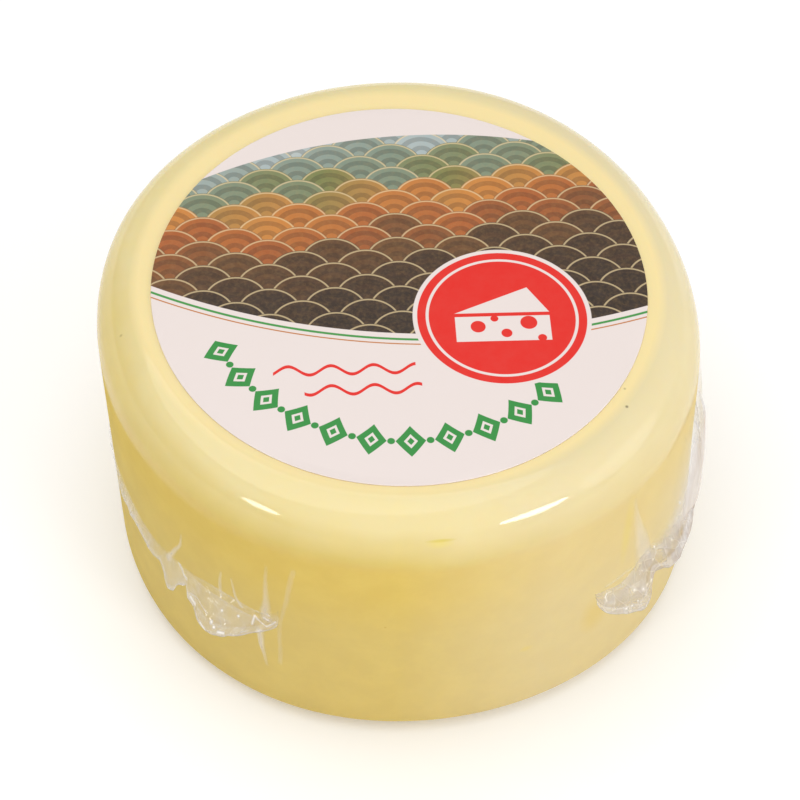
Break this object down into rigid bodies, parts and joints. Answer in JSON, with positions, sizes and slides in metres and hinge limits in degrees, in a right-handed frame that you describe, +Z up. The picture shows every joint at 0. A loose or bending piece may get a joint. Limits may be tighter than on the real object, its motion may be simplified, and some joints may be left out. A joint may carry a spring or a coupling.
{
  "type": "kashkaval cheese wheel",
  "caption": "Whole round kashkaval cheese wheel, shrink-wrapped in clear film with a gathered sealed edge and a round paper label on top.",
  "frame": {"origin": "centre of the flat underside of the wheel, on the surface that it rests on", "axes": "+Z up, through the label on top; -Y to the front, where the sealed edge of the film is open; +X to the right seen from the front"},
  "size_m": [0.1288, 0.1274, 0.0748],
  "materials": {
    "cheese": "smooth pale yellow cheese under tight clear gloss film",
    "label_paper": "printed paper under tight clear gloss film",
    "film": "clear crinkled shrink film, whitish where it is gathered"
  },
  "bodies": {
    "root": {"cheese_wheel": "cheese", "label": "label_paper", "film_seam": "film"}
  },
  "joints": []
}
